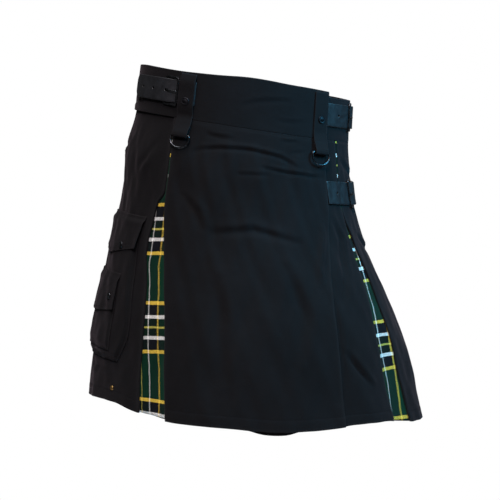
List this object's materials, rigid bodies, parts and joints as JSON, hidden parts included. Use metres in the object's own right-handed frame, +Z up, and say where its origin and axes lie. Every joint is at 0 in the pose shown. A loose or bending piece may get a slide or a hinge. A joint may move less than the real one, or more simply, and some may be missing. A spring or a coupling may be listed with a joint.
{
  "type": "hybrid kilt",
  "caption": "Wrapped kilt of black cotton twill with tartan pleat inserts, buckled leather straps, belt loops with D-rings and a cargo pocket, in worn form.",
  "frame": {"origin": "centre of the waist opening at the waistband's top edge, where the wearer's waist holds it", "axes": "+Z up along the wearer's body, -Y the front, +X the wearer's left"},
  "size_m": [0.6055, 0.4263, 0.6332],
  "materials": {
    "black_twill": "matt black cotton twill, heavy, lightly creased",
    "tartan_cloth": "wool-like tartan twill in green and black with white and yellow lines",
    "black_leather": "smooth black leather with a soft sheen",
    "dark_steel": "gunmetal-toned steel, lightly worn",
    "old_brass": "dull brass"
  },
  "bodies": {
    "kilt": {"waistband": "black_twill", "front_apron": "black_twill", "under_apron": "black_twill", "side_panel_right": "black_twill", "side_panel_left": "black_twill", "back_panel_1": "black_twill", "back_panel_2": "black_twill", "back_panel_3": "black_twill", "back_panel_4": "black_twill", "belt_loop_right": "black_twill", "belt_loop_left": "black_twill", "belt_loop_back_1": "black_twill", "belt_loop_back_2": "black_twill", "belt_loop_back_3": "black_twill", "cargo_pocket": "black_twill", "cargo_flap": "black_twill", "small_pocket": "black_twill", "small_flap": "black_twill", "tartan_pleat_1": "tartan_cloth", "tartan_pleat_2": "tartan_cloth", "tartan_pleat_3": "tartan_cloth", "tartan_pleat_4": "tartan_cloth", "tartan_pleat_5": "tartan_cloth", "tartan_pleat_6": "tartan_cloth", "tartan_pleat_7": "tartan_cloth", "strap_waist_right": "black_leather", "strap_waist_left": "black_leather", "strap_hip_left": "black_leather", "chape_waist_right": "black_leather", "chape_waist_left": "black_leather", "chape_hip_left": "black_leather", "buckle_waist_right": "dark_steel", "buckle_waist_left": "dark_steel", "buckle_hip_left": "dark_steel", "prong_waist_right": "dark_steel", "prong_waist_left": "dark_steel", "prong_hip_left": "dark_steel", "snap_right": "dark_steel", "snap_left": "dark_steel", "cargo_stud": "dark_steel", "small_stud": "dark_steel", "brass_rivet": "old_brass"},
    "ring_right": {"d_ring_right": "dark_steel"},
    "ring_left": {"d_ring_left": "dark_steel"}
  },
  "joints": [
    {"name": "ring_right_swing", "type": "hinge", "parent": "kilt", "child": "ring_right", "pos_m": [-0.11344, -0.12981, -0.09023], "axis": [-0.9073, 0.3999, 0.1301], "range_deg": [0, 120]},
    {"name": "ring_left_swing", "type": "hinge", "parent": "kilt", "child": "ring_left", "pos_m": [0.12917, -0.1089, -0.1211], "axis": [-0.8098, -0.5749, 0.117], "range_deg": [0, 120]}
  ]
}
